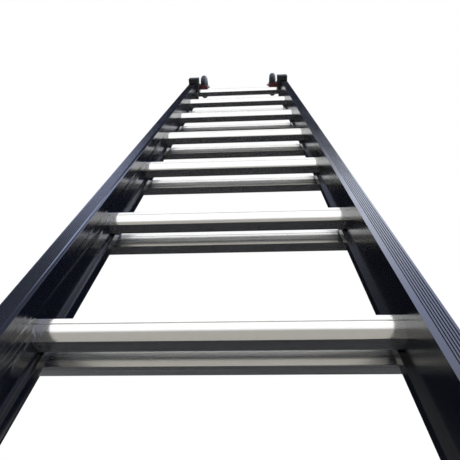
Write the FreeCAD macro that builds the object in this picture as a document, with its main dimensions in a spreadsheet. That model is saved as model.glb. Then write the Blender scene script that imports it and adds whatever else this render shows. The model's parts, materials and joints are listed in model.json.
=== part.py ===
"""Two-section extension ladder: a fly section with wall wheels slides in front of a wider base section.

Units are millimetres. X runs across the ladder, Y from the climbing side to the wall side, Z up the stiles.
The origin is on the floor, in the middle of the ladder's box. Depths start at the fly's front face.
Sub-parts are drawn for the right-hand side and mirrored for the left.
"""
import FreeCAD, Part
import os
import re

RUNGS_PER_SECTION = 8
FRONT_GROOVES = 6
TREAD_GROOVES = 6
SOLE_GROOVES = 4

SIZES = {
    # section spacing and rungs
    "rung_spacing": 280.0,
    "first_rung_height": 190.0,
    "rung_depth": 41.3,
    "section_pitch": 47.5,
    "rung_tilt": 15.0,
    "rung_bottom_width": 19.4,
    "rung_height": 25.3,
    "rung_side_radius": 40.0,
    "rung_bulge_height": 21.0,
    "rung_wall": 1.8,
    "rung_entry": 11.8,
    "rung_fit": 0.12,
    "tread_groove_pitch": 4.6,
    "tread_groove_width": 1.5,
    "tread_groove_depth": 0.8,
    "side_line_height": 18.2,
    # fly stile section
    "fly_half_width": 220.4,
    "stile_width": 27.2,
    "fly_box_depth": 64.4,
    "stile_wall": 2.4,
    "leg_step": 5.7,
    "channel_depth": 7.2,
    "rear_flange_width": 25.0,
    "front_groove_width": 1.2,
    "front_groove_depth": 0.9,
    "front_groove_pitch": 3.0,
    "front_groove_start": 3.0,
    "edge_bead_width": 1.6,
    "edge_bead_height": 0.6,
    "fly_foot_height": 8.0,
    "fly_top_margin": 38.0,
    # base stile section
    "base_box_depth": 53.2,
    "flange_clearance": 4.5,
    "base_width": 26.0,
    "lip_width": 16.0,
    "base_foot_height": 14.0,
    "base_top_margin": 52.0,
    # clearances
    "slide_gap": 0.5,
    "plug_fit": 0.4,
    "seat_gap": 0.2,
    "pin_fit": 0.1,
    "running_fit": 0.06,
    # top cap and wheel
    "cap_cheek": 13.0,
    "cap_wall": 2.2,
    "cap_nose": 20.0,
    "cap_drop": 48.0,
    "cap_plate": 8.0,
    "cap_cheek_depth": 26.0,
    "tower_width": 10.0,
    "tower_radius": 15.0,
    "axle_depth": 29.0,
    "fork_rung_gap": 3.2,
    "axle_radius": 5.0,
    "axle_head_radius": 8.5,
    "axle_head_length": 5.0,
    "axle_nub_length": 9.0,
    "axle_nub_radius": 5.6,
    "wheel_radius": 52.0,
    "tyre_width": 28.0,
    "rim_radius": 34.0,
    "rim_width": 24.0,
    "hub_boss_radius": 12.0,
    "hub_recess_radius": 28.0,
    "hub_recess_depth": 7.0,
    "wheel_side_gap": 0.5,
    "fork_plate": 3.5,
    "fork_front": 14.0,
    "fork_rear": 42.0,
    "fork_ear_radius": 12.0,
    "fork_web_gap": 6.0,
    "screw_radius": 2.5,
    "screw_head_radius": 4.5,
    "screw_head_height": 2.4,
    # end plugs, feet, caps and glides
    "plug_insert": 40.0,
    "foot_margin": 2.0,
    "sole_groove_width": 4.0,
    "sole_groove_depth": 2.5,
    "sole_groove_pitch": 11.0,
    "base_cap_plate": 6.0,
    "base_cap_insert": 16.0,
    "nose_drop": 30.0,
    "glide_bottom": 30.0,
    "glide_length": 60.0,
    "glide_depth_fit": 0.2,
    # rung locks
    "lock_pivot_depth": 66.0,
    "pawl_radius": 8.0,
    "pawl_length": 44.0,
    "pawl_width": 18.0,
    "pawl_rest_angle": 8.0,
    "pawl_tread_gap": 0.5,
    "lock_plate": 4.5,
    "lock_front": 24.0,
    "lock_top": 60.0,
    "lock_pin_radius": 4.0,
    "lock_side_gap": 1.0,
}

# Places along X, worked out from the sizes
WEB = "(fly_half_width - stile_width)"
LEG = f"({WEB} - leg_step)"
FLANGE_EDGE = f"({LEG} + rear_flange_width)"
BASE_WEB = f"({FLANGE_EDGE} + flange_clearance)"
BASE_OUT = f"({BASE_WEB} + base_width)"
LIP_EDGE = f"({BASE_WEB} - lip_width)"
CAP_IN = f"({WEB} - cap_cheek)"
CAP_OUT = "(fly_half_width + seat_gap + cap_wall)"
FORK_OUT = f"({CAP_IN} - seat_gap)"
WHEEL_OUT = f"({FORK_OUT} - fork_plate - wheel_side_gap)"
WHEEL_MID = f"({WHEEL_OUT} - tyre_width / 2)"
WHEEL_IN = f"({WHEEL_OUT} - tyre_width)"
FORK_IN = f"({WHEEL_IN} - wheel_side_gap - fork_plate)"
LOCK_IN = f"({LEG} - seat_gap - lock_plate)"
PAWL_OUT = f"({LOCK_IN} - lock_side_gap)"
PAWL_IN = f"({PAWL_OUT} - pawl_width)"

# How far behind a rung's bottom corner the centre of its side's curve is
BULGE_REACH = "sqrt(rung_side_radius * rung_side_radius - rung_bulge_height * rung_bulge_height)"

# Depths behind the fly's front face
FLANGE_FRONT = "(fly_box_depth + channel_depth)"
FLY_DEPTH = f"({FLANGE_FRONT} + stile_wall)"
BASE_FRONT = "(fly_box_depth + (channel_depth - stile_wall) / 2)"
BASE_REAR = f"({BASE_FRONT} + base_box_depth)"
BASE_RUNG_DEPTH = "(rung_depth + section_pitch)"
FRONT_SHIFT = f"((wheel_radius - axle_depth) / 2 - ({BASE_REAR} + foot_margin) / 2)"

# Heights
TILT = "rung_tilt * 1 deg"
LAST = RUNGS_PER_SECTION - 1
TOP_RUNG = f"(first_rung_height + {LAST} * rung_spacing)"
FLY_TOP = f"({TOP_RUNG} + fly_top_margin)"
BASE_RISE = f"(section_pitch * tan({TILT}))"
BASE_FIRST = f"(first_rung_height + {BASE_RISE})"
BASE_TOP = f"({BASE_FIRST} + {LAST} * rung_spacing + base_top_margin)"
FORK_WEB_LOW = f"({TOP_RUNG} + rung_height + fork_rung_gap)"
FORK_WEB_TOP = f"({FORK_WEB_LOW} + fork_plate)"
AXLE_Z = f"({FORK_WEB_TOP} + fork_web_gap + wheel_radius)"
CAP_TOP = f"({FLY_TOP} + cap_plate)"
CAP_LOW = f"({FLY_TOP} - cap_drop)"
PIVOT_OVER_TREAD = "(rung_height + pawl_tread_gap + pawl_radius)"
PIVOT_Z = (
    f"({BASE_FIRST} + ({PIVOT_OVER_TREAD} + (lock_pivot_depth - {BASE_RUNG_DEPTH}) * sin({TILT}))"
    f" / cos({TILT}))"
)

document = FreeCAD.newDocument("ExtensionLadder")
PARTS = {}


def make_sheet():
    sheet = document.addObject("Spreadsheet::Sheet", "Sizes")
    for row, (alias, size) in enumerate(SIZES.items(), start=1):
        sheet.set(f"A{row}", alias)
        sheet.set(f"B{row}", str(size))
        sheet.setAlias(f"B{row}", alias)
    document.recompute()


def bind(item, prop, formula):
    """Bind a property to a formula written with the sheet's aliases."""

    def cell(match):
        word = match.group(0)
        return f"Sizes.{word}" if word in SIZES else word

    item.setExpression(prop, re.sub(r"[a-z][a-z_]+", cell, formula))


def place(item, x="0", y="0", z="0"):
    bind(item, "Placement.Base.x", x)
    bind(item, "Placement.Base.y", y)
    bind(item, "Placement.Base.z", z)


def tilt(item, degrees):
    item.Placement.Rotation = FreeCAD.Rotation(FreeCAD.Vector(1, 0, 0), 10)
    bind(item, "Placement.Rotation.Angle", degrees)


def box(x, y, z):
    """A block between low and high formulas along each axis."""
    block = document.addObject("Part::Box", "Block")
    bind(block, "Length", f"({x[1]}) - ({x[0]})")
    bind(block, "Width", f"({y[1]}) - ({y[0]})")
    bind(block, "Height", f"({z[1]}) - ({z[0]})")
    place(block, x[0], y[0], z[0])
    return block


def rod_x(x, y, z, radius):
    """A round bar along X."""
    bar = document.addObject("Part::Cylinder", "Bar")
    bar.Placement.Rotation = FreeCAD.Rotation(FreeCAD.Vector(0, 1, 0), 90)
    bind(bar, "Radius", radius)
    bind(bar, "Height", f"({x[1]}) - ({x[0]})")
    place(bar, x[0], y, z)
    return bar


def rod_y(x, y, z, radius):
    """A round bar along Y."""
    bar = document.addObject("Part::Cylinder", "Bar")
    bar.Placement.Rotation = FreeCAD.Rotation(FreeCAD.Vector(1, 0, 0), -90)
    bind(bar, "Radius", radius)
    bind(bar, "Height", f"({y[1]}) - ({y[0]})")
    place(bar, x, y[0], z)
    return bar


def fuse(*pieces):
    joined = document.addObject("Part::MultiFuse", "Joined")
    joined.Shapes = list(pieces)
    return joined


def common(*pieces):
    shared = document.addObject("Part::MultiCommon", "Shared")
    shared.Shapes = list(pieces)
    return shared


def group(*pieces):
    together = document.addObject("Part::Compound", "Together")
    together.Links = list(pieces)
    return together


def cut(body, *tools):
    trimmed = document.addObject("Part::Cut", "Trimmed")
    trimmed.Base = body
    trimmed.Tool = tools[0] if len(tools) == 1 else group(*tools)
    return trimmed


def mirrored(piece):
    image = document.addObject("Part::Mirroring", "Image")
    image.Source = piece
    image.Base = (0, 0, 0)
    image.Normal = (1, 0, 0)
    return image


def keep(name, *pieces, y="0", z="0"):
    """Name a sub-part and move it from the fly's front face to the ladder's own frame."""
    node = group(*pieces)
    node.Label = name
    place(node, "0", f"{FRONT_SHIFT} + ({y})", z)
    PARTS[name] = node
    return node


def keep_pair(name, piece):
    keep(f"{name}_right", piece)
    keep(f"{name}_left", mirrored(piece))


def keep_both_sides(name, *pieces):
    """Identical fasteners of both sides share one node."""
    keep(name, *pieces, *[mirrored(piece) for piece in pieces])


def screw_x(x, y, z, head_side):
    """A screw along X with its head on the low (-1) or high (+1) side of the stretch x."""
    shank = rod_x(x, y, z, "screw_radius")
    if head_side > 0:
        head_span = (x[1], f"{x[1]} + screw_head_height")
    else:
        head_span = (f"{x[0]} - screw_head_height", x[0])
    return fuse(shank, rod_x(head_span, y, z, "screw_head_radius"))


def screw_hole_x(x, y, z):
    return rod_x(x, y, z, "screw_radius + pin_fit")


# Rungs


def rung_bar(x, inset):
    """The rung's section along X: flat underside and tread, bulging sides. inset shrinks it all round."""
    radius = f"rung_side_radius - ({inset})"
    front = rod_x(x, BULGE_REACH, "rung_bulge_height", radius)
    rear = rod_x(x, f"rung_bottom_width - {BULGE_REACH}", "rung_bulge_height", radius)
    slab = box(x, ("-rung_side_radius", "rung_side_radius * 2"), (inset, f"rung_height - ({inset})"))
    return common(front, rear, slab)


def tread_grooves(x):
    """Anti-slip grooves along the tread, and one fine line along each side."""
    tools = []
    for number in range(TREAD_GROOVES):
        offset = number - (TREAD_GROOVES - 1) / 2
        middle = f"rung_bottom_width / 2 + {offset} * tread_groove_pitch"
        tools.append(
            box(
                x,
                (f"{middle} - tread_groove_width / 2", f"{middle} + tread_groove_width / 2"),
                ("rung_height - tread_groove_depth", "rung_height + 1"),
            )
        )
    side = f"(rung_side_radius - {BULGE_REACH})"
    line = ("side_line_height", "side_line_height + tread_groove_depth")
    tools.append(box(x, (f"-{side} - 1", f"-{side} + tread_groove_depth"), line))
    rear = f"rung_bottom_width + {side}"
    tools.append(box(x, (f"{rear} - tread_groove_depth", f"{rear} + 1"), line))
    return tools


def make_rungs(section, half_length, depth, first_height):
    span = (f"-({half_length})", half_length)
    tube = cut(rung_bar(span, "0"), rung_bar(span, "rung_wall"), *tread_grooves(span))
    level = group(tube)
    tilt(level, "rung_tilt")
    for number in range(RUNGS_PER_SECTION):
        height = f"{first_height} + {number} * rung_spacing"
        keep(f"{section}_rung_{number + 1}", level, y=depth, z=height)


def rung_holes(web, depth, first_height):
    """Room for every rung's end in a stile: through its inner wall and clear of the walls beside it."""
    bar = rung_bar((f"{web} - leg_step", f"{web} + rung_entry + seat_gap"), "-rung_fit")
    level = group(bar)
    tilt(level, "rung_tilt")
    holes = []
    for number in range(RUNGS_PER_SECTION):
        hole = group(level)
        place(hole, "0", depth, f"{first_height} + {number} * rung_spacing")
        holes.append(hole)
    return holes


# Fly section


def lock_bolt_places():
    depth = "lock_front + pawl_radius"
    low = f"{PIVOT_Z} + pawl_radius * 0.5"
    return [(depth, low), (depth, f"{PIVOT_Z} + lock_top - pawl_radius * 1.5")]


def cap_screw_places():
    height = f"{FLY_TOP} - cap_drop / 2"
    return [("stile_width * 0.6", height), ("fly_box_depth * 0.7", height)]


def glide_rivet_places():
    across = f"{LEG} + stile_wall + pawl_radius * 0.5"
    low = "glide_bottom + glide_length / 4"
    return [(across, low), (across, f"{low} + glide_length / 2")]


def plug_rivet_place():
    return "fly_box_depth / 2", "fly_foot_height + plug_insert / 2"


def fly_stile():
    """A box section with a ribbed front, stepped inwards at its rear into a channel for the base's lip."""
    z = ("fly_foot_height", FLY_TOP)
    rear_wall = ("fly_box_depth - stile_wall", "fly_box_depth")
    section = fuse(
        box((WEB, "fly_half_width"), ("0", "stile_wall"), z),
        box((WEB, f"{WEB} + stile_wall"), ("0", "fly_box_depth"), z),
        box(("fly_half_width - stile_wall", "fly_half_width"), ("0", "fly_box_depth"), z),
        box((LEG, "fly_half_width"), rear_wall, z),
        box((LEG, f"{LEG} + stile_wall"), ("fly_box_depth - stile_wall", FLY_DEPTH), z),
        box((LEG, FLANGE_EDGE), (FLANGE_FRONT, FLY_DEPTH), z),
        box((WEB, f"{WEB} + edge_bead_width"), ("-edge_bead_height", "1"), z),
    )
    tools = rung_holes(WEB, "rung_depth", "first_rung_height")
    for number in range(FRONT_GROOVES):
        edge = f"fly_half_width - front_groove_start - {number} * front_groove_pitch"
        tools.append(box((f"{edge} - front_groove_width", edge), ("-1", "front_groove_depth"), z))
    through_web = (f"{WEB} - 1", f"{WEB} + stile_wall + 1")
    tools += [screw_hole_x(through_web, y, height) for y, height in lock_bolt_places()]
    through_side = ("fly_half_width - stile_wall - 1", "fly_half_width + 1")
    side_places = cap_screw_places() + [plug_rivet_place()]
    tools += [screw_hole_x(through_side, y, height) for y, height in side_places]
    through_flange = (f"{FLANGE_FRONT} - 1", f"{FLY_DEPTH} + 1")
    for across, height in glide_rivet_places():
        tools.append(rod_y(across, through_flange, height, "screw_radius + pin_fit"))
    return cut(section, *tools)


def fly_plug():
    """The plastic foot of a fly stile, pushed into its box."""
    inside_x = (f"{WEB} + stile_wall + plug_fit", "fly_half_width - stile_wall - plug_fit")
    inside_y = ("stile_wall + plug_fit", "fly_box_depth - stile_wall - plug_fit")
    sole = box((WEB, "fly_half_width"), ("0", "fly_box_depth"), ("0", "fly_foot_height"))
    insert = box(inside_x, inside_y, ("fly_foot_height - 1", "fly_foot_height + plug_insert"))
    y, z = plug_rivet_place()
    hole = screw_hole_x(("fly_half_width - stile_width / 2", "fly_half_width"), y, z)
    return cut(fuse(sole, insert), hole)


def fly_glide():
    """A nylon block in the fly's rear channel, slotted for the base's guide lip."""
    block = box(
        (f"{LEG} + stile_wall + glide_depth_fit", FLANGE_EDGE),
        ("fly_box_depth + glide_depth_fit", f"{FLANGE_FRONT} - glide_depth_fit"),
        ("glide_bottom", "glide_bottom + glide_length"),
    )
    slot = box(
        (f"{LIP_EDGE} - slide_gap", f"{FLANGE_EDGE} + 1"),
        (f"{BASE_FRONT} - slide_gap", f"{BASE_FRONT} + stile_wall + slide_gap"),
        ("glide_bottom - 1", "glide_bottom + glide_length + 1"),
    )
    holes = [
        rod_y(across, (f"{BASE_FRONT} + stile_wall", FLANGE_FRONT), z, "screw_radius + pin_fit")
        for across, z in glide_rivet_places()
    ]
    return cut(block, slot, *holes)


def glide_rivets():
    rivets = []
    for across, z in glide_rivet_places():
        shank = rod_y(across, (f"{FLANGE_FRONT} - stile_wall / 2", FLY_DEPTH), z, "screw_radius")
        head_span = (FLY_DEPTH, f"{FLY_DEPTH} + edge_bead_height * 2")
        rivets.append(fuse(shank, rod_y(across, head_span, z, "screw_head_radius")))
    return rivets


def top_cap():
    """A moulded cap over the stile's end: a proud nose, a cheek inside and a tower for the axle."""
    z = (CAP_LOW, CAP_TOP)
    plate_z = (f"{FLY_TOP} + seat_gap", CAP_TOP)
    nose = ("-cap_nose", "-edge_bead_height - seat_gap")
    tower = (CAP_IN, f"{CAP_IN} + tower_width")
    solid = fuse(
        box((CAP_IN, CAP_OUT), nose, z),
        box((CAP_IN, f"{WEB} - seat_gap"), ("-cap_nose", "cap_cheek_depth"), z),
        box(("fly_half_width + seat_gap", CAP_OUT), ("-cap_nose", "fly_box_depth - foot_margin"), z),
        box((WEB, CAP_OUT), ("-cap_nose", "fly_box_depth - foot_margin"), plate_z),
        box((CAP_IN, f"{WEB} + 1"), ("-cap_nose", "axle_depth + tower_radius"), plate_z),
        box(
            tower,
            ("axle_depth - tower_radius", "axle_depth + tower_radius"),
            (f"{FLY_TOP} + seat_gap", AXLE_Z),
        ),
        rod_x(tower, "axle_depth", AXLE_Z, "tower_radius"),
        box(
            (f"{WEB} + rung_entry + 1", "fly_half_width - stile_wall - plug_fit"),
            ("stile_wall + plug_fit", "fly_box_depth - stile_wall - plug_fit"),
            (f"{FLY_TOP} - plug_insert", CAP_TOP),
        ),
    )
    tools = [rod_x((f"{CAP_IN} - 1", f"{tower[1]} + 1"), "axle_depth", AXLE_Z, "axle_radius + running_fit")]
    screw_span = (f"{WEB} + rung_entry + 2", f"{CAP_OUT} + 1")
    tools += [screw_hole_x(screw_span, y, height) for y, height in cap_screw_places()]
    fork_span = (f"{CAP_IN} - 1", f"{tower[1]} + 1")
    tools += [screw_hole_x(fork_span, y, height) for y, height in fork_screw_places()]
    return cut(solid, *tools)


def fork_screw_places():
    height = f"{CAP_TOP} + tower_radius * 0.6"
    return [
        ("axle_depth - tower_radius * 0.55", height),
        ("axle_depth + tower_radius * 0.55", height),
    ]


def wheel_fork():
    """A bent plate that holds the wheel from both sides and passes below it."""
    web_z = (FORK_WEB_LOW, FORK_WEB_TOP)
    y = ("fork_front", "fork_rear")
    outer = (f"{FORK_OUT} - fork_plate", FORK_OUT)
    inner = (FORK_IN, f"{FORK_IN} + fork_plate")
    ears = []
    for x in (outer, inner):
        ears.append(box(x, y, (web_z[0], f"{CAP_TOP} + tower_radius")))
        ears.append(
            box(x, ("axle_depth - fork_ear_radius", "axle_depth + fork_ear_radius"), (web_z[0], AXLE_Z))
        )
        ears.append(rod_x(x, "axle_depth", AXLE_Z, "fork_ear_radius"))
    solid = fuse(box((FORK_IN, FORK_OUT), y, web_z), *ears)
    bore = rod_x((f"{FORK_IN} - 1", f"{FORK_OUT} + 1"), "axle_depth", AXLE_Z, "axle_radius + running_fit")
    holes = [screw_hole_x((f"{outer[0]} - 1", f"{outer[1]} + 1"), yy, zz) for yy, zz in fork_screw_places()]
    return cut(solid, bore, *holes)


def wheel_axle():
    """A bolt through tower, fork and wheel, with its head outside and a domed nut inside."""
    head_low = f"{CAP_IN} + tower_width"
    shank = rod_x((f"{FORK_IN} - axle_nub_length", head_low), "axle_depth", AXLE_Z, "axle_radius")
    head = rod_x((head_low, f"{head_low} + axle_head_length"), "axle_depth", AXLE_Z, "axle_head_radius")
    nub = rod_x((f"{FORK_IN} - axle_nub_length", FORK_IN), "axle_depth", AXLE_Z, "axle_nub_radius")
    return fuse(shank, head, nub)


def wheel_tyre():
    """A solid tyre with a fully rounded tread."""
    ring = document.addObject("Part::Torus", "Ring")
    ring.Placement.Rotation = FreeCAD.Rotation(FreeCAD.Vector(0, 1, 0), 90)
    bind(ring, "Radius1", "wheel_radius - tyre_width / 2")
    bind(ring, "Radius2", "tyre_width / 2")
    place(ring, WHEEL_MID, "axle_depth", AXLE_Z)
    bore = rod_x((f"{WHEEL_IN} - 1", f"{WHEEL_OUT} + 1"), "axle_depth", AXLE_Z, "rim_radius + pin_fit")
    return cut(ring, bore)


def wheel_hub():
    """A rim disc, dished on both sides, with a boss that runs on the axle."""
    low = f"{WHEEL_MID} - rim_width / 2"
    high = f"{WHEEL_MID} + rim_width / 2"
    dish = []
    faces = ((f"{low} - 1", f"{low} + hub_recess_depth"), (f"{high} - hub_recess_depth", f"{high} + 1"))
    for span in faces:
        dish.append(rod_x(span, "axle_depth", AXLE_Z, "hub_recess_radius"))
    disc = cut(rod_x((low, high), "axle_depth", AXLE_Z, "rim_radius"), *dish)
    boss = rod_x((WHEEL_IN, WHEEL_OUT), "axle_depth", AXLE_Z, "hub_boss_radius")
    bore = rod_x((f"{WHEEL_IN} - 1", f"{WHEEL_OUT} + 1"), "axle_depth", AXLE_Z, "axle_radius + running_fit")
    return cut(fuse(disc, boss), bore)


def lock_bracket():
    """A cast plate on the stile's inner wall that carries the pawl's pin."""
    z = (f"{PIVOT_Z} - pawl_radius * 0.8", f"{PIVOT_Z} + lock_top")
    plate = box((LOCK_IN, f"{LEG} - seat_gap"), ("lock_front", f"{FLY_DEPTH} - seat_gap"), z)
    pad = box(
        (f"{LEG} - 1", f"{WEB} - seat_gap"),
        ("lock_front", "fly_box_depth - stile_wall - seat_gap"),
        z,
    )
    bore = rod_x(
        (f"{LOCK_IN} - 1", f"{LEG} + 1"), "lock_pivot_depth", PIVOT_Z, "lock_pin_radius + running_fit"
    )
    holes = [screw_hole_x((f"{LOCK_IN} - 1", f"{WEB} + 1"), y, height) for y, height in lock_bolt_places()]
    return cut(fuse(plate, pad), bore, *holes)


def lock_pin():
    """The pawl's pin, with a head on its free end."""
    head_low = f"{PAWL_IN} - lock_side_gap - screw_head_height"
    shank = rod_x((head_low, f"{LEG} - seat_gap"), "lock_pivot_depth", PIVOT_Z, "lock_pin_radius")
    head = rod_x(
        (head_low, f"{head_low} + screw_head_height"),
        "lock_pivot_depth",
        PIVOT_Z,
        "lock_pin_radius + foot_margin",
    )
    return fuse(shank, head)


def lock_pawl():
    """A lever that stands up against its stop, and swings down over a base rung's tread."""
    span = (PAWL_IN, PAWL_OUT)
    lever = fuse(
        rod_x(span, "0", "0", "pawl_radius"),
        box(span, ("-pawl_radius", "pawl_radius"), ("0", "pawl_length - pawl_radius / 2")),
        box(span, ("-pawl_radius / 2", "pawl_radius"), ("0", "pawl_length")),
    )
    bore = rod_x((f"{PAWL_IN} - 1", f"{PAWL_OUT} + 1"), "0", "0", "lock_pin_radius + running_fit")
    upright = group(cut(lever, bore))
    tilt(upright, "pawl_rest_angle")
    place(upright, "0", "lock_pivot_depth", PIVOT_Z)
    return upright


# Base section


def foot_rivet_place():
    return f"{BASE_FRONT} + base_box_depth / 2", "base_foot_height + plug_insert / 2"


def base_cap_rivet_place():
    return f"{BASE_FRONT} + base_box_depth / 2", f"{BASE_TOP} - base_cap_insert / 2"


def base_stile():
    """A box section with a lip on its front wall that runs in the fly's channel."""
    z = ("base_foot_height", BASE_TOP)
    shell = box((BASE_WEB, BASE_OUT), (BASE_FRONT, BASE_REAR), z)
    hollow = box(
        (f"{BASE_WEB} + stile_wall", f"{BASE_OUT} - stile_wall"),
        (f"{BASE_FRONT} + stile_wall", f"{BASE_REAR} - stile_wall"),
        ("base_foot_height - 1", f"{BASE_TOP} + 1"),
    )
    lip = box(
        (LIP_EDGE, f"{BASE_WEB} + stile_wall / 2"),
        (BASE_FRONT, f"{BASE_FRONT} + stile_wall"),
        z,
    )
    tools = rung_holes(BASE_WEB, BASE_RUNG_DEPTH, BASE_FIRST)
    through = (f"{BASE_OUT} - stile_wall - 1", f"{BASE_OUT} + 1")
    tools += [screw_hole_x(through, *foot_rivet_place()), screw_hole_x(through, *base_cap_rivet_place())]
    return cut(fuse(cut(shell, hollow), lip), *tools)


def base_insert(z):
    return box(
        (f"{BASE_WEB} + stile_wall + plug_fit", f"{BASE_OUT} - stile_wall - plug_fit"),
        (f"{BASE_FRONT} + stile_wall + plug_fit", f"{BASE_REAR} - stile_wall - plug_fit"),
        z,
    )


def base_foot():
    """A rubber foot pushed into the stile, with grooves across its sole."""
    across = (f"{BASE_WEB} - foot_margin", f"{BASE_OUT} + foot_margin")
    sole = box(
        across, (f"{BASE_FRONT} - seat_gap", f"{BASE_REAR} + foot_margin"), ("0", "base_foot_height")
    )
    insert = base_insert(("base_foot_height - 1", "base_foot_height + plug_insert"))
    tools = [screw_hole_x((f"{BASE_OUT} - base_width / 2", BASE_OUT), *foot_rivet_place())]
    for number in range(SOLE_GROOVES):
        offset = number - (SOLE_GROOVES - 1) / 2
        middle = f"{BASE_FRONT} + base_box_depth / 2 + {offset} * sole_groove_pitch"
        tools.append(
            box(
                (f"{across[0]} - 1", f"{across[1]} + 1"),
                (f"{middle} - sole_groove_width / 2", f"{middle} + sole_groove_width / 2"),
                ("-1", "sole_groove_depth"),
            )
        )
    return cut(fuse(sole, insert), *tools)


def base_cap():
    """A plastic cap on the base stile's end, with a nose that guides the fly's channel."""
    plate_z = (BASE_TOP, f"{BASE_TOP} + base_cap_plate")
    nose_y = ("fly_box_depth + slide_gap", f"{FLANGE_FRONT} - slide_gap")
    nose_x = (f"{LEG} + stile_wall + slide_gap", BASE_WEB)
    plate = box(
        (f"{BASE_WEB} - foot_margin", f"{BASE_OUT} + foot_margin"),
        ("fly_box_depth + slide_gap", f"{BASE_REAR} + foot_margin"),
        plate_z,
    )
    nose = box(nose_x, nose_y, (f"{BASE_TOP} - nose_drop", plate_z[1]))
    insert = base_insert((f"{BASE_TOP} - base_cap_insert", f"{BASE_TOP} + 1"))
    slot = box(
        (f"{LIP_EDGE} - seat_gap", f"{BASE_WEB} + 1"),
        (f"{BASE_FRONT} - seat_gap", f"{BASE_FRONT} + stile_wall + seat_gap"),
        (f"{BASE_TOP} - nose_drop - 1", BASE_TOP),
    )
    y, z = base_cap_rivet_place()
    hole = screw_hole_x((f"{BASE_OUT} - base_width / 2", BASE_OUT), y, z)
    return fuse(cut(nose, slot), cut(fuse(plate, insert), hole))


def make_fly():
    make_rungs("fly", f"{WEB} + rung_entry", "rung_depth", "first_rung_height")
    keep_pair("fly_stile", fly_stile())
    keep_pair("fly_end_plug", fly_plug())
    keep_pair("fly_glide", fly_glide())
    keep_pair("top_cap", top_cap())
    keep_pair("wheel_fork", wheel_fork())
    keep_pair("wheel_axle", wheel_axle())
    keep_pair("lock_bracket", lock_bracket())
    keep_pair("lock_pin", lock_pin())
    cap_span = (f"{WEB} + rung_entry + 3", CAP_OUT)
    keep_both_sides("top_cap_screws", *[screw_x(cap_span, y, z, 1) for y, z in cap_screw_places()])
    fork_span = (f"{FORK_OUT} - fork_plate", f"{CAP_IN} + tower_width")
    keep_both_sides("fork_screws", *[screw_x(fork_span, y, z, 1) for y, z in fork_screw_places()])
    bolt_span = (LOCK_IN, f"{WEB} + stile_wall * 2")
    keep_both_sides("lock_bolts", *[screw_x(bolt_span, y, z, -1) for y, z in lock_bolt_places()])
    rivet_span = ("fly_half_width - stile_wall * 3", "fly_half_width")
    keep_both_sides("fly_plug_rivets", screw_x(rivet_span, *plug_rivet_place(), 1))
    keep_both_sides("glide_rivets", *glide_rivets())


def make_moving_pieces():
    keep_pair("wheel_tyre", wheel_tyre())
    keep_pair("wheel_hub", wheel_hub())
    keep_pair("lock_pawl", lock_pawl())


def make_base():
    make_rungs("base", f"{BASE_WEB} + rung_entry", BASE_RUNG_DEPTH, BASE_FIRST)
    keep_pair("base_stile", base_stile())
    keep_pair("base_foot", base_foot())
    keep_pair("base_top_cap", base_cap())
    rivet_span = (f"{BASE_OUT} - stile_wall * 3", BASE_OUT)
    keep_both_sides("base_foot_rivets", screw_x(rivet_span, *foot_rivet_place(), 1))
    keep_both_sides("base_cap_rivets", screw_x(rivet_span, *base_cap_rivet_place(), 1))


def check_and_write():
    document.recompute()
    for item in document.Objects:
        if "Invalid" in item.State or "Error" in item.State:
            raise RuntimeError(f"{item.Name} did not build: {item.State}")
    os.makedirs("parts", exist_ok=True)
    for name, node in PARTS.items():
        shape = node.Shape
        if shape.isNull() or not shape.isValid() or not shape.Solids:
            raise RuntimeError(f"{name} has no valid shape")
        print(name, len(shape.Solids), "solids,", round(shape.Volume / 1000, 2), "cm3")
    for name, node in PARTS.items():
        node.Shape.exportStep(f"parts/{name}.step")


make_sheet()
make_base()
make_fly()
make_moving_pieces()
check_and_write()
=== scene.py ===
"""Looks of the extension ladder: finishes, edges, wheels, fasteners, floor, light and camera."""
import json
import math
import bpy
from mathutils import Matrix, Vector


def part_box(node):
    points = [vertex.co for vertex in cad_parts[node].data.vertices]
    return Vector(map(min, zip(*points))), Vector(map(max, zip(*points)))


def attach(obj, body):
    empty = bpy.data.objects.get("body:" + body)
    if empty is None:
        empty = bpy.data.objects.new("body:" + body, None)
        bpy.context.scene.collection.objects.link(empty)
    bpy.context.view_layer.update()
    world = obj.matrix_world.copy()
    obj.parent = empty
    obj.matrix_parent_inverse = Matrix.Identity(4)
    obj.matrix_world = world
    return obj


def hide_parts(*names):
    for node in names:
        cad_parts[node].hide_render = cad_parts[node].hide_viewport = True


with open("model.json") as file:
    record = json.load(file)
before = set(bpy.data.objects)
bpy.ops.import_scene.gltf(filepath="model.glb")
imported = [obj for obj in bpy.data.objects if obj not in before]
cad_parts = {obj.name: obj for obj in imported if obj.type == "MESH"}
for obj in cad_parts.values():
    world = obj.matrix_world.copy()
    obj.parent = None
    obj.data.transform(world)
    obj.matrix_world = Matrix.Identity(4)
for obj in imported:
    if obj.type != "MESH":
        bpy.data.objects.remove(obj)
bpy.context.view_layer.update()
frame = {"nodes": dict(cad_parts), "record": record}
MM = 0.001
OVERRUN = 1.1  # Cutting tools reach past the piece by this factor
RUNGS = range(1, 1 + sum(name.startswith("fly_rung_") for name in frame["nodes"]))


# ---------------------------------------------------------------- camera, light and floor

FRONT_SKY = (1.25, 1.25, 1.26)
FLAG_RIGHT_LOW = (1.5, 1.7, 2.5)
FLAG_RIGHT_HIGH = (3.0, 3.2, 3.8)
FLAG_LEFT_LOW = (0.20, 0.25, 0.38)
FLAG_LEFT_HIGH = (1.15, 1.3, 1.9)
FRONT_GROUND = (0.43, 0.415, 0.375)
REAR_GROUND = (0.007, 0.007, 0.008)
REAR_SKY = (0.75, 0.77, 0.82)
REAR_FLAGS = (0.010, 0.012, 0.018)
ZENITH = (0.02, 0.024, 0.045)

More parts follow.
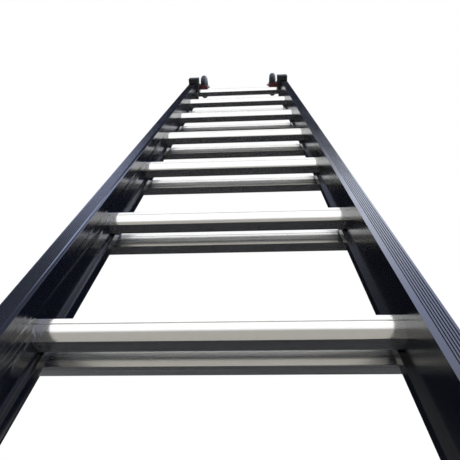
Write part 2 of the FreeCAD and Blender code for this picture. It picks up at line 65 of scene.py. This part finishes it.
# Where each part of the sky begins and ends, on one axis of the direction looked in
FRONT_EDGE = (0.2, -0.1)
REAR_SKY_EDGE = (0.50, 0.32)
ABOVE_GROUND = (-0.32, -0.165)
BELOW_ZENITH = (0.955, 0.90)
BELOW_CROWN = (0.92, 0.85)
FLAG_LEFT_HEIGHTS = (0.78, 0.87)
FLAG_RIGHT_HEIGHTS = (0.74, 0.90)
BETWEEN_FLAGS = (-0.1, 0.1)
BANK_HEIGHTS, BANK_WIDTHS = (0.55, 0.70), (0.8, 0.45)
BANK_EDGE = (0.06, -0.12)
FRONT_GROUND_EDGE = (-0.165, -0.32)
REAR_GROUND_EDGE = (-0.10, -0.24)

EYE = (0.03625, -0.30104, 0.13628)
PITCH, YAW, ROLL = 0.463, -0.045, 0.021
SENSOR_WIDTH, FOCAL_LENGTH = 36, 32.87

FLOOR_RADIUS, FLOOR_HEIGHT = 30, -0.0005
LIGHT_AIM = (0, 0, 1.1)


def make_camera():
    """Stands low on the climbing side and looks steeply up the ladder."""
    right = Vector((1, 0, 0))
    up = Vector((0, -math.cos(PITCH), math.sin(PITCH)))
    ahead = Vector((0, math.sin(PITCH), math.cos(PITCH)))
    side = right * math.cos(YAW) - ahead * math.sin(YAW)
    ahead = right * math.sin(YAW) + ahead * math.cos(YAW)
    right = side * math.cos(ROLL) - up * math.sin(ROLL)
    up = side * math.sin(ROLL) + up * math.cos(ROLL)
    lens = bpy.data.cameras.new("camera")
    lens.sensor_width = SENSOR_WIDTH
    lens.lens = FOCAL_LENGTH
    lens.clip_start = 0.01
    camera = bpy.data.objects.new("camera", lens)
    turned = Matrix((right, up, -ahead)).transposed().to_4x4()
    camera.matrix_world = Matrix.Translation(Vector(EYE)) @ turned
    bpy.context.scene.collection.objects.link(camera)
    bpy.context.scene.camera = camera


def smooth_step(tree, value, low, high, start=0.0, end=1.0):
    """A soft ramp of value from start at low to end at high."""
    ramp = tree.nodes.new("ShaderNodeMapRange")
    ramp.interpolation_type = "SMOOTHSTEP"
    for socket, number in zip(("From Min", "From Max", "To Min", "To Max"), (low, high, start, end)):
        ramp.inputs[socket].default_value = number
    tree.links.new(value, ramp.inputs["Value"])
    return ramp.outputs["Result"]


def math_node(tree, operation, first, second):
    node = tree.nodes.new("ShaderNodeMath")
    node.operation = operation
    for socket, value in zip(node.inputs, (first, second)):
        if isinstance(value, (int, float)):
            socket.default_value = value
        else:
            tree.links.new(value, socket)
    return node.outputs[0]


def mix_colour(tree, amount, first, second):
    node = tree.nodes.new("ShaderNodeMix")
    node.data_type = "RGBA"
    for socket, value in zip((node.inputs[0], node.inputs[6], node.inputs[7]), (amount, first, second)):
        if isinstance(value, (int, float)):
            socket.default_value = value
        elif isinstance(value, tuple):
            socket.default_value = (*value, 1)
        else:
            tree.links.new(value, socket)
    return node.outputs[2]


def make_world():
    """White behind the ladder to the eye, and a studio of its own in the ladder's polish.

    The polish sees a white bank in front, blue flags beside it and a dim rest.
    """
    world = bpy.data.worlds.new("studio")
    bpy.context.scene.world = world
    world.use_nodes = True
    tree = world.node_tree
    background = tree.nodes["Background"]
    way = tree.nodes.new("ShaderNodeSeparateXYZ")
    tree.links.new(tree.nodes.new("ShaderNodeTexCoord").outputs["Generated"], way.inputs[0])
    x, y, z = way.outputs
    front = smooth_step(tree, y, *FRONT_EDGE)
    above = smooth_step(tree, z, *ABOVE_GROUND)
    below_zenith = smooth_step(tree, z, *BELOW_ZENITH)
    below_crown = smooth_step(tree, z, *BELOW_CROWN)
    forwards = math_node(tree, "ABSOLUTE", y, 0)
    half_width = math_node(tree, "MULTIPLY", forwards, smooth_step(tree, z, *BANK_HEIGHTS, *BANK_WIDTHS))
    sideways = math_node(tree, "ABSOLUTE", x, 0)
    central = smooth_step(tree, math_node(tree, "SUBTRACT", sideways, half_width), *BANK_EDGE)
    behind = smooth_step(tree, z, *REAR_SKY_EDGE)
    low_to_high = smooth_step(tree, z, *FLAG_LEFT_HEIGHTS)
    flag_left = mix_colour(tree, low_to_high, FLAG_LEFT_LOW, FLAG_LEFT_HIGH)
    low_to_high = smooth_step(tree, z, *FLAG_RIGHT_HEIGHTS)
    flag_right = mix_colour(tree, low_to_high, FLAG_RIGHT_LOW, FLAG_RIGHT_HIGH)
    flags = mix_colour(tree, smooth_step(tree, x, *BETWEEN_FLAGS), flag_left, flag_right)
    bank = mix_colour(tree, below_crown, ZENITH, FRONT_SKY)
    flags = mix_colour(tree, below_zenith, ZENITH, flags)
    front_half = mix_colour(tree, above, ZENITH, mix_colour(tree, central, flags, bank))
    rear_half = mix_colour(tree, behind, REAR_FLAGS, REAR_SKY)
    front_half = mix_colour(tree, smooth_step(tree, z, *FRONT_GROUND_EDGE), front_half, FRONT_GROUND)
    rear_half = mix_colour(tree, smooth_step(tree, z, *REAR_GROUND_EDGE), rear_half, REAR_GROUND)
    colour = mix_colour(tree, front, rear_half, front_half)
    path = tree.nodes.new("ShaderNodeLightPath")
    colour = mix_colour(tree, path.outputs["Is Camera Ray"], colour, (1.0, 1.0, 1.0))
    tree.links.new(colour, background.inputs["Color"])


def make_floor():
    bpy.ops.mesh.primitive_circle_add(
        vertices=96, radius=FLOOR_RADIUS, fill_type="NGON", location=(0, 0, FLOOR_HEIGHT)
    )
    floor = bpy.context.object
    floor.name = "floor"
    paint, tree, shader = new_material("pale_floor", (0.80, 0.77, 0.69), 0.6)
    grain = noise(tree, (9, 9, 9), 4.0)
    vary_colour(tree, shader, grain, (0.77, 0.74, 0.66), (0.83, 0.80, 0.72))
    floor.data.materials.append(paint)
    floor.visible_glossy = False


def make_lights():
    """Two soft panels that fill the shaded sides without showing in the polished walls."""
    for name, place, size, power in (
        ("front_panel", (-2.6, -5.2, 4.4), 4.5, 60),
        ("rear_panel", (3.4, 5.2, 4.2), 4.5, 190),
    ):
        panel = bpy.data.lights.new(name, "AREA")
        panel.size = size
        panel.energy = power
        lamp = bpy.data.objects.new(name, panel)
        lamp.location = place
        aim = Vector(LIGHT_AIM) - Vector(place)
        lamp.rotation_euler = aim.to_track_quat("-Z", "Y").to_euler()
        lamp.visible_glossy = False
        bpy.context.scene.collection.objects.link(lamp)


# ---------------------------------------------------------------- finishes


def new_material(name, colour, roughness, metallic=0.0):
    paint = bpy.data.materials.new(name)
    paint.use_nodes = True
    tree = paint.node_tree
    shader = tree.nodes["Principled BSDF"]
    shader.inputs["Base Color"].default_value = (*colour, 1)
    shader.inputs["Roughness"].default_value = roughness
    shader.inputs["Metallic"].default_value = metallic
    return paint, tree, shader


def noise(tree, stretch, scale, detail=3.0):
    """Noise over the piece's own coordinates, stretched along each axis."""
    place = tree.nodes.new("ShaderNodeTexCoord")
    mapping = tree.nodes.new("ShaderNodeMapping")
    mapping.inputs["Scale"].default_value = stretch
    texture = tree.nodes.new("ShaderNodeTexNoise")
    texture.inputs["Scale"].default_value = scale
    texture.inputs["Detail"].default_value = detail
    tree.links.new(place.outputs["Object"], mapping.inputs["Vector"])
    tree.links.new(mapping.outputs["Vector"], texture.inputs["Vector"])
    return texture.outputs["Fac"]


def vary_colour(tree, shader, amount, first, second):
    tree.links.new(mix_colour(tree, amount, first, second), shader.inputs["Base Color"])


def vary_roughness(tree, shader, amount, low, high):
    tree.links.new(smooth_step(tree, amount, 0.3, 0.7, low, high), shader.inputs["Roughness"])


def add_bump(tree, shader, height, strength, distance):
    bump = tree.nodes.new("ShaderNodeBump")
    bump.inputs["Strength"].default_value = strength
    bump.inputs["Distance"].default_value = distance
    tree.links.new(height, bump.inputs["Height"])
    tree.links.new(bump.outputs["Normal"], shader.inputs["Normal"])


def part_of(tree, source, axis, low, high):
    """1 where the chosen coordinate of the place or of the normal is past high, 0 before low."""
    split = tree.nodes.new("ShaderNodeSeparateXYZ")
    tree.links.new(tree.nodes.new("ShaderNodeTexCoord").outputs[source], split.inputs[0])
    return smooth_step(tree, split.outputs[axis], low, high)


def extruded_aluminium():
    """Bright aluminium: die lines along X, matt scuffed treads, duller sides on the base's rungs."""
    paint, tree, shader = new_material("extruded_aluminium", (0.86, 0.86, 0.84), 0.14, 0.94)
    lines = noise(tree, (1.2, 260, 260), 3.0, 2.0)
    marks = noise(tree, (30, 30, 30), 2.0, 5.0)
    vary_colour(tree, shader, marks, (0.82, 0.82, 0.80), (0.90, 0.90, 0.89))
    drawn = smooth_step(tree, lines, 0.3, 0.7, 0.11, 0.16)
    scuffed = smooth_step(tree, marks, 0.3, 0.7, 0.38, 0.52)
    treads = part_of(tree, "Normal", "Z", 0.75, 0.92)
    off_underside = part_of(tree, "Normal", "Z", -0.92, -0.82)
    on_base = part_of(tree, "Object", "Y", 0.022, 0.026)
    dulling = math_node(tree, "MULTIPLY", math_node(tree, "MULTIPLY", off_underside, on_base), 0.13)
    scuffing = math_node(tree, "MULTIPLY", math_node(tree, "SUBTRACT", scuffed, drawn), treads)
    rough = math_node(tree, "ADD", drawn, math_node(tree, "MAXIMUM", scuffing, dulling))
    tree.links.new(rough, shader.inputs["Roughness"])
    add_bump(tree, shader, lines, 0.03, 0.0003)
    return paint


def dark_anodised():
    """Blue-black anodised extrusion, glossy, with faint drawn lines along Z."""
    paint, tree, shader = new_material("dark_anodised", (0.005, 0.006, 0.010), 0.28)
    shader.inputs["IOR"].default_value = 1.7
    lines = noise(tree, (240, 240, 0.8), 3.0, 2.0)
    marks = noise(tree, (14, 14, 5), 2.0, 5.0)
    vary_colour(tree, shader, marks, (0.0018, 0.0022, 0.0045), (0.0035, 0.004, 0.008))
    vary_roughness(tree, shader, marks, 0.17, 0.23)
    add_bump(tree, shader, lines, 0.006, 0.00015)
    return paint


def black_plastic():
    """Moulded plastic with a fine leathery grain."""
    paint, tree, shader = new_material("black_plastic", (0.012, 0.012, 0.013), 0.45)
    grain = noise(tree, (1, 1, 1), 900, 2.0)
    scuffs = noise(tree, (1, 1, 1), 35, 6.0)
    vary_colour(tree, shader, scuffs, (0.008, 0.008, 0.009), (0.02, 0.02, 0.021))
    vary_roughness(tree, shader, scuffs, 0.38, 0.58)
    add_bump(tree, shader, grain, 0.25, 0.0003)
    return paint


def hub_plastic():
    """Moulded hub plastic, smoother than the caps."""
    paint, tree, shader = new_material("hub_plastic", (0.02, 0.02, 0.021), 0.4)
    flow = noise(tree, (1, 1, 1), 60, 4.0)
    vary_colour(tree, shader, flow, (0.014, 0.014, 0.015), (0.028, 0.028, 0.029))
    vary_roughness(tree, shader, flow, 0.30, 0.46)
    add_bump(tree, shader, flow, 0.1, 0.0003)
    return paint


def tyre_rubber():
    paint, tree, shader = new_material("tyre_rubber", (0.014, 0.014, 0.015), 0.5)
    grain = noise(tree, (1, 1, 1), 500, 3.0)
    dust = noise(tree, (1, 1, 1), 40, 6.0)
    vary_colour(tree, shader, dust, (0.005, 0.005, 0.0055), (0.012, 0.012, 0.0125))
    vary_roughness(tree, shader, dust, 0.26, 0.42)
    add_bump(tree, shader, grain, 0.2, 0.0004)
    return paint


def red_enamel():
    """Dark red paint with a slight orange peel."""
    paint, tree, shader = new_material("red_enamel", (0.10, 0.006, 0.008), 0.3)
    shader.inputs["Coat Weight"].default_value = 0.4
    shader.inputs["Coat Roughness"].default_value = 0.15
    peel = noise(tree, (1, 1, 1), 260, 2.0)
    tone = noise(tree, (1, 1, 1), 30, 5.0)
    vary_colour(tree, shader, tone, (0.085, 0.004, 0.006), (0.13, 0.008, 0.010))
    add_bump(tree, shader, peel, 0.12, 0.0004)
    return paint


def zinc_steel():
    paint, tree, shader = new_material("zinc_steel", (0.62, 0.63, 0.65), 0.34, 1.0)
    spangle = noise(tree, (1, 1, 1), 180, 4.0)
    vary_colour(tree, shader, spangle, (0.52, 0.53, 0.56), (0.70, 0.71, 0.72))
    vary_roughness(tree, shader, spangle, 0.26, 0.44)
    add_bump(tree, shader, spangle, 0.08, 0.0002)
    return paint


def cast_metal():
    """Die-cast aluminium with a sandy skin."""
    paint, tree, shader = new_material("cast_metal", (0.42, 0.42, 0.43), 0.5, 1.0)
    skin = noise(tree, (1, 1, 1), 420, 4.0)
    tone = noise(tree, (1, 1, 1), 28, 5.0)
    vary_colour(tree, shader, tone, (0.36, 0.36, 0.37), (0.48, 0.48, 0.48))
    vary_roughness(tree, shader, tone, 0.42, 0.6)
    add_bump(tree, shader, skin, 0.3, 0.0004)
    return paint


def foot_rubber():
    paint, tree, shader = new_material("foot_rubber", (0.016, 0.016, 0.016), 0.75)
    grain = noise(tree, (1, 1, 1), 600, 3.0)
    dust = noise(tree, (1, 1, 1), 50, 6.0)
    vary_colour(tree, shader, dust, (0.012, 0.012, 0.012), (0.035, 0.034, 0.032))
    add_bump(tree, shader, grain, 0.3, 0.0004)
    return paint


def natural_nylon():
    paint, tree, shader = new_material("natural_nylon", (0.62, 0.60, 0.53), 0.42)
    shader.inputs["Subsurface Weight"].default_value = 0.2
    shader.inputs["Subsurface Scale"].default_value = 0.003
    tone = noise(tree, (1, 1, 1), 60, 4.0)
    vary_colour(tree, shader, tone, (0.57, 0.55, 0.48), (0.68, 0.66, 0.60))
    add_bump(tree, shader, tone, 0.1, 0.0004)
    return paint


def make_finishes():
    return {
        "rung_aluminium": extruded_aluminium(),
        "dark_anodised": dark_anodised(),
        "black_plastic": black_plastic(),
        "tyre_rubber": tyre_rubber(),
        "wheel_hub": hub_plastic(),
        "red_bracket": red_enamel(),
        "zinc_steel": zinc_steel(),
        "cast_metal": cast_metal(),
        "foot_rubber": foot_rubber(),
        "nylon": natural_nylon(),
    }


FINISHES = make_finishes()

# ---------------------------------------------------------------- modelling helpers

SLOT_OF = {part["node"]: part["material_slot"] for part in frame["record"]["subparts"]}
BODY_OF = {node: body for body, nodes in frame["record"]["behaviour"]["bodies"].items() for node in nodes}
SMOOTH_ANGLE = math.radians(40)
SHARP_ANGLE = math.radians(32)
MERGE_DISTANCE = 0.000002


def select_only(*pieces):
    bpy.ops.object.select_all(action="DESELECT")
    for piece in pieces:
        piece.select_set(True)
    bpy.context.view_layer.objects.active = pieces[0]


def settle():
    """Puts the new primitive's place, turn and size into its mesh."""
    piece = bpy.context.object
    select_only(piece)
    bpy.ops.object.transform_apply(location=True, rotation=True, scale=True)
    return piece


def block(low, high):
    low, high = Vector(low), Vector(high)
    bpy.ops.mesh.primitive_cube_add(size=1, location=(low + high) / 2, scale=high - low)
    return settle()


def bar_x(low, high, y, z, radius, sides=64):
    bpy.ops.mesh.primitive_cylinder_add(
        vertices=sides,
        radius=radius,
        depth=high - low,
        location=((low + high) / 2, y, z),
        rotation=(0, math.pi / 2, 0),
    )
    return settle()


def apply(piece, kind, **settings):
    """Adds a modifier with these settings and applies it."""
    select_only(piece)
    modifier = piece.modifiers.new(kind.lower(), kind)
    for setting, value in settings.items():
        setattr(modifier, setting, value)
    bpy.ops.object.modifier_apply(modifier=modifier.name)
    return piece


def combine(piece, operation, tool):
    """Joins, cuts or intersects the piece with a closed tool, which is then removed."""
    apply(piece, "BOOLEAN", operation=operation, object=tool, solver="EXACT")
    bpy.data.objects.remove(tool)
    return piece


def joined(pieces):
    pieces = list(pieces)
    select_only(*pieces)
    if len(pieces) > 1:
        bpy.ops.object.join()
    return bpy.context.object


def clean(piece, flat_angle=0.2):
    """Merges doubles, clears needless edges on flat faces and turns the faces outwards."""
    select_only(piece)
    bpy.ops.object.mode_set(mode="EDIT")
    bpy.ops.mesh.select_all(action="SELECT")
    bpy.ops.mesh.remove_doubles(threshold=MERGE_DISTANCE)
    bpy.ops.mesh.dissolve_limited(angle_limit=math.radians(flat_angle))
    bpy.ops.mesh.normals_make_consistent(inside=False)
    bpy.ops.object.mode_set(mode="OBJECT")
    return piece


def soften(piece, width, segments=2):
    """Rounds the sharp edges by a width in millimetres and shades the rest smooth."""
    apply(
        piece,
        "BEVEL",
        width=width * MM,
        segments=segments,
        limit_method="ANGLE",
        angle_limit=SHARP_ANGLE,
        use_clamp_overlap=True,
    )
    select_only(piece)
    bpy.ops.object.shade_smooth_by_angle(angle=SMOOTH_ANGLE)
    return apply(piece, "WEIGHTED_NORMAL", keep_sharp=True)


def hand_over(piece, name, *nodes):
    """Names the piece, gives it its finish and its body, and lets it stand for its CAD nodes."""
    piece.name = piece.data.name = name
    piece.data.materials.clear()
    piece.data.materials.append(FINISHES[SLOT_OF[nodes[0]]])
    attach(piece, BODY_OF[nodes[0]])
    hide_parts(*nodes)
    return piece


def copy_of(source, shift=(0, 0, 0)):
    """A copy with its own mesh, moved by shift."""
    piece = bpy.data.objects.new(source.name, source.data.copy())
    bpy.context.scene.collection.objects.link(piece)
    piece.data.transform(Matrix.Translation(Vector(shift)))
    return piece


def cad_copy(node):
    """The CAD node's shape as a clean, closed mesh."""
    return clean(copy_of(frame["nodes"][node]))


def mirror_copy(source):
    """The same piece for the other side of the ladder, right side out."""
    piece = copy_of(source)
    piece.data.transform(Matrix.Diagonal((-1, 1, 1, 1)))
    piece.data.flip_normals()
    return piece


def middle_of(node):
    low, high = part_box(node)
    return (low + high) / 2


# ---------------------------------------------------------------- rungs


RUNG_WIDTH, RUNG_HEIGHT, RUNG_WALL = 19.4 * MM, 25.3 * MM, 1.8 * MM
SIDE_RADIUS, BULGE_HEIGHT, SIDE_FACETS = 40 * MM, 21 * MM, 640
RUNG_TILT = math.radians(15)
TREAD_RIBS, TREAD_PITCH = 6, 4.6 * MM
GROOVE_WIDTH, GROOVE_DEPTH = 1.5 * MM, 0.8 * MM
SIDE_LINE_HEIGHT, SIDE_LINE_WIDTH, SIDE_LINE_DEPTH = 18 * MM, 1.2 * MM, 1.1 * MM
HOLLOW_OVERRUN, GROOVE_OVERRUN = 1.01, 1.02
RUNG_ROUNDING = 0.35


def rung_body(half_length, inset):
    """Two bulging sides between a flat underside and a flat tread."""
    reach = math.sqrt(SIDE_RADIUS**2 - BULGE_HEIGHT**2)
    radius = SIDE_RADIUS - inset
    body = bar_x(-half_length, half_length, reach, BULGE_HEIGHT, radius, SIDE_FACETS)
    rear = bar_x(-half_length, half_length, RUNG_WIDTH - reach, BULGE_HEIGHT, radius, SIDE_FACETS)
    combine(body, "INTERSECT", rear)
    slab = block(
        (-half_length * 2, -SIDE_RADIUS, inset), (half_length * 2, SIDE_RADIUS * 2, RUNG_HEIGHT - inset)
    )
    return combine(body, "INTERSECT", slab)


def make_rung_form(node):
    """One hollow rung with a ribbed tread and a fine line along each side, in the node's place."""
    low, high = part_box(node)
    half_length = high.x
    rung = rung_body(half_length, 0)
    hollow = rung_body(half_length * HOLLOW_OVERRUN, RUNG_WALL)
    combine(rung, "DIFFERENCE", hollow)
    across = half_length * GROOVE_OVERRUN
    for number in range(TREAD_RIBS):
        groove = RUNG_WIDTH / 2 + (number - (TREAD_RIBS - 1) / 2) * TREAD_PITCH
        tool = block(
            (-across, groove - GROOVE_WIDTH / 2, RUNG_HEIGHT - GROOVE_DEPTH),
            (across, groove + GROOVE_WIDTH / 2, RUNG_HEIGHT * OVERRUN),
        )
        combine(rung, "DIFFERENCE", tool)
    bulge = SIDE_RADIUS - math.sqrt(SIDE_RADIUS**2 - BULGE_HEIGHT**2)
    for inner, outer in (
        (SIDE_LINE_DEPTH - bulge, -bulge * 2),
        (RUNG_WIDTH + bulge * 2, RUNG_WIDTH + bulge - SIDE_LINE_DEPTH),
    ):
        tool = block(
            (-across, outer, SIDE_LINE_HEIGHT), (across, inner, SIDE_LINE_HEIGHT + SIDE_LINE_WIDTH)
        )
        combine(rung, "DIFFERENCE", tool)
    clean(rung, 0.05)
    soften(rung, RUNG_ROUNDING)
    rung.data.transform(Matrix.Rotation(RUNG_TILT, 4, "X"))
    own_low = Vector([min(v.co[axis] for v in rung.data.vertices) for axis in range(3)])
    rung.data.transform(Matrix.Translation(low - own_low))
    return rung


def make_rungs():
    for section in ("fly", "base"):
        first = make_rung_form(f"{section}_rung_1")
        start = middle_of(f"{section}_rung_1")
        for number in RUNGS:
            node = f"{section}_rung_{number}"
            rung = first if number == 1 else copy_of(first, middle_of(node) - start)
            hand_over(rung, f"{section}_rung_bar_{number}", node)


# ---------------------------------------------------------------- extrusions, mouldings and castings

# The width of each piece's rounded edges in millimetres, and the bevel's segments
EDGE_ROUNDING = {
    "fly_stile": (0.4, 2),
    "base_stile": (0.5, 2),
    "top_cap": (1.4, 3),
    "fly_end_plug": (1.2, 3),
    "fly_glide": (0.8, 2),
    "wheel_fork": (0.9, 3),
    "lock_bracket": (1.4, 3),
    "lock_pin": (0.6, 2),
    "lock_pawl": (1.4, 3),
    "base_foot": (1.2, 3),
    "base_top_cap": (1.2, 3),
}


def make_rounded_pieces():
    for stem, (width, segments) in EDGE_ROUNDING.items():
        right = soften(cad_copy(f"{stem}_right"), width, segments)
        left = mirror_copy(right)
        hand_over(right, f"{stem}_rounded_right", f"{stem}_right")
        hand_over(left, f"{stem}_rounded_left", f"{stem}_left")


# ---------------------------------------------------------------- wall wheels

# The offset from the tyre's middle and the width of each groove round it, in millimetres
TYRE_GROOVES = ((-6.5, 1.6), (0, 1.8), (6.5, 1.6))
TYRE_GROOVE_DEPTH = 1.3 * MM
BORE_CLEARANCE = 0.1 * MM
TYRE_SIDES = 128
TREAD_LUGS = 30
NOTCH_START, NOTCH_END, NOTCH_DEPTH, NOTCH_HALF_WIDTH = 8.6 * MM, 16 * MM, 5.4 * MM, 0.7 * MM
HUB_HALF_WIDTH = 12 * MM
DISH_START, DISH_END, DISH_RADIUS = 5 * MM, 20 * MM, 29.5 * MM
HUB_RIBS = 6
RIB_HALF_LENGTH, RIB_HALF_WIDTH, RIB_START, RIB_END = 11 * MM, 1.3 * MM, 4 * MM, 31 * MM
BOSS_RADIUS, AXLE_BORE_RADIUS = 11.9 * MM, 5.06 * MM
AXLE_RADIUS, AXLE_SET_BACK = 5 * MM, 2 * MM
HEAD_LENGTH, WASHER_START, WASHER_THICKNESS = 4 * MM, 3.8 * MM, 1.2 * MM
NUT_START, NUT_LENGTH, NUT_RADIUS, NUT_DOME_RADIUS = 9 * MM, 5 * MM, 5.6 * MM, 4.6 * MM


def make_tyre(node):
    """A rounded solid tyre, bored for its rim, with three grooves round it and notched shoulders."""
    low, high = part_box(node)
    centre = middle_of(node)
    half_width = (high.x - low.x) / 2
    radius = (high.z - low.z) / 2
    bpy.ops.mesh.primitive_torus_add(
        location=centre,
        rotation=(0, math.pi / 2, 0),
        major_radius=radius - half_width,
        minor_radius=half_width,
        major_segments=TYRE_SIDES,
        minor_segments=40,
    )
    tyre = settle()
    rim_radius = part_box(node.replace("tyre", "hub"))[1].z - centre.z
    bore_radius = rim_radius + BORE_CLEARANCE
    bore = bar_x(low.x - MM, high.x + MM, centre.y, centre.z, bore_radius, TYRE_SIDES)
    combine(tyre, "DIFFERENCE", bore)
    for offset, width in TYRE_GROOVES:
        crown = radius - half_width + math.sqrt(half_width**2 - (offset * MM) ** 2)
        ends = (centre.x + (offset - width / 2) * MM, centre.x + (offset + width / 2) * MM)
        washer = bar_x(*ends, centre.y, centre.z, radius * OVERRUN, TYRE_SIDES)
        groove_floor = crown - TYRE_GROOVE_DEPTH
        core = bar_x(ends[0] - MM, ends[1] + MM, centre.y, centre.z, groove_floor, TYRE_SIDES)
        combine(washer, "DIFFERENCE", core)
        combine(tyre, "DIFFERENCE", washer)
    lugs = []
    for side in (-1, 1):
        for number in range(TREAD_LUGS):
            notch = block(
                (side * NOTCH_START, -NOTCH_HALF_WIDTH, radius - NOTCH_DEPTH),
                (side * NOTCH_END, NOTCH_HALF_WIDTH, radius * OVERRUN),
            )
            turn = 2 * math.pi * (number + (side > 0) / 2) / TREAD_LUGS
            notch.data.transform(Matrix.Translation(centre) @ Matrix.Rotation(turn, 4, "X"))
            lugs.append(notch)
    notches = joined(lugs)
    select_only(notches)
    clean(notches)
    combine(tyre, "DIFFERENCE", notches)
    return soften(clean(tyre, 0.05), 0.25, 1)


def make_hub(node):
    """A dished plastic rim with ribs from its boss to its edge."""
    low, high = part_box(node)
    centre = middle_of(node)
    at = (centre.y, centre.z)
    rim = high.z - centre.z
    hub = bar_x(centre.x - HUB_HALF_WIDTH, centre.x + HUB_HALF_WIDTH, *at, rim, 96)
    for side in (-1, 1):
        ends = sorted((centre.x + side * DISH_START, centre.x + side * DISH_END))
        combine(hub, "DIFFERENCE", bar_x(*ends, *at, DISH_RADIUS, 96))
    for number in range(HUB_RIBS):
        rib = block(
            (-RIB_HALF_LENGTH, -RIB_HALF_WIDTH, RIB_START), (RIB_HALF_LENGTH, RIB_HALF_WIDTH, RIB_END)
        )
        turn = 2 * math.pi * number / HUB_RIBS
        rib.data.transform(Matrix.Translation(centre) @ Matrix.Rotation(turn, 4, "X"))
        combine(hub, "UNION", rib)
    combine(hub, "UNION", bar_x(low.x, high.x, *at, BOSS_RADIUS, 64))
    combine(hub, "DIFFERENCE", bar_x(low.x - MM, high.x + MM, *at, AXLE_BORE_RADIUS, 48))
    return soften(clean(hub, 0.05), 0.5)


def make_axle(node):
    """A bolt with a hexagon head and its washer at one end and a domed nut at the other."""
    low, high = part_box(node)
    centre = middle_of(node)
    at = (centre.y, centre.z)
    right = centre.x > 0
    head_end, nut_end = (high.x, low.x) if right else (low.x, high.x)
    inwards = -1 if right else 1
    head_radius = high.z - centre.z

    def length(start, run, radius, sides):
        ends = sorted((start, start + inwards * run))
        return bar_x(*ends, *at, radius, sides)

    axle = length(head_end, abs(head_end - nut_end) - AXLE_SET_BACK, AXLE_RADIUS, 48)
    head = soften(clean(length(head_end, HEAD_LENGTH, head_radius, 6)), 0.6)
    washer = length(head_end + inwards * WASHER_START, WASHER_THICKNESS, head_radius, 64)
    combine(axle, "UNION", washer)
    combine(axle, "UNION", head)
    nut = soften(clean(length(nut_end - inwards * NUT_START, NUT_LENGTH, NUT_RADIUS, 6)), 0.3)
    bpy.ops.mesh.primitive_uv_sphere_add(
        segments=32,
        ring_count=16,
        radius=NUT_DOME_RADIUS,
        location=(nut_end - inwards * NUT_DOME_RADIUS, *at),
    )
    dome = settle()
    combine(axle, "UNION", nut)
    combine(axle, "UNION", dome)
    select_only(axle)
    bpy.ops.object.shade_smooth_by_angle(angle=SMOOTH_ANGLE)
    return axle


def make_wheels():
    for stem, make in (("wheel_tyre", make_tyre), ("wheel_hub", make_hub), ("wheel_axle", make_axle)):
        right = make(f"{stem}_right")
        left = mirror_copy(right)
        hand_over(right, f"{stem}_shaped_right", f"{stem}_right")
        hand_over(left, f"{stem}_shaped_left", f"{stem}_left")


# ---------------------------------------------------------------- fasteners

# Which way each group's heads face: outwards (1) or inwards (-1) along X, or 0 for the wall side
FASTENERS = {
    "top_cap_screws": (1, "screw"),
    "fork_screws": (1, "screw"),
    "lock_bolts": (-1, "screw"),
    "fly_plug_rivets": (1, "rivet"),
    "base_foot_rivets": (1, "rivet"),
    "base_cap_rivets": (1, "rivet"),
    "glide_rivets": (0, "rivet"),
}
HEAD_HEIGHTS = {"screw": 2.3 * MM, "rivet": 1.2 * MM}
SHANK_RADIUS = 2.45 * MM
# The depth, radius and number of sides of the recess in each kind's head
RECESSES = {"screw": (1.5 * MM, 1.9 * MM, 6), "rivet": (0.6 * MM, 1.2 * MM, 24)}


def fastener_boxes(node):
    """The lowest and highest corners of each separate fastener in a node."""
    select_only(cad_copy(node))
    bpy.ops.mesh.separate(type="LOOSE")
    boxes = []
    for shank in list(bpy.context.selected_objects):
        corners = [v.co for v in shank.data.vertices]
        low, high = (Vector([pick(c[axis] for c in corners) for axis in range(3)]) for pick in (min, max))
        boxes.append((low, high))
        bpy.data.objects.remove(shank)
    return boxes


def make_fastener(length, head_radius, kind):
    """Along +X with its head's crown at the origin: a domed head over a shank."""
    height = HEAD_HEIGHTS[kind]
    bpy.ops.mesh.primitive_uv_sphere_add(segments=32, ring_count=24, radius=1, location=(0, 0, 0))
    head = bpy.context.object
    head.scale = (height, head_radius, head_radius)
    head.location = (-height, 0, 0)
    head = settle()
    beyond = head_radius * 2
    rear = block((-height * 3, -beyond, -beyond), (-height, beyond, beyond))
    combine(head, "DIFFERENCE", rear)
    combine(head, "UNION", bar_x(-length, -height * 0.9, 0, 0, SHANK_RADIUS, 32))
    depth, radius, sides = RECESSES[kind]
    combine(head, "DIFFERENCE", bar_x(-depth, MM, 0, 0, radius, sides))
    select_only(head)
    bpy.ops.object.shade_smooth_by_angle(angle=SMOOTH_ANGLE)
    return head


def make_fasteners():
    for node, (outwards, kind) in FASTENERS.items():
        pieces = []
        for low, high in fastener_boxes(node):
            centre = (low + high) / 2
            size = high - low
            if outwards:
                facing = outwards if centre.x > 0 else -outwards
                crown = Vector((high.x if facing > 0 else low.x, centre.y, centre.z))
                turn = 0 if facing > 0 else math.pi
                length = size.x
            else:
                crown = Vector((centre.x, high.y, centre.z))
                turn = math.pi / 2
                length = size.y
            piece = make_fastener(length, size.z / 2, kind)
            piece.data.transform(Matrix.Translation(crown) @ Matrix.Rotation(turn, 4, "Z"))
            pieces.append(piece)
        hand_over(joined(pieces), f"{node}_domed", node)


bpy.context.scene.view_settings.view_transform = "Standard"
make_camera()
make_world()
make_floor()
make_lights()
make_rungs()
make_rounded_pieces()
make_wheels()
make_fasteners()
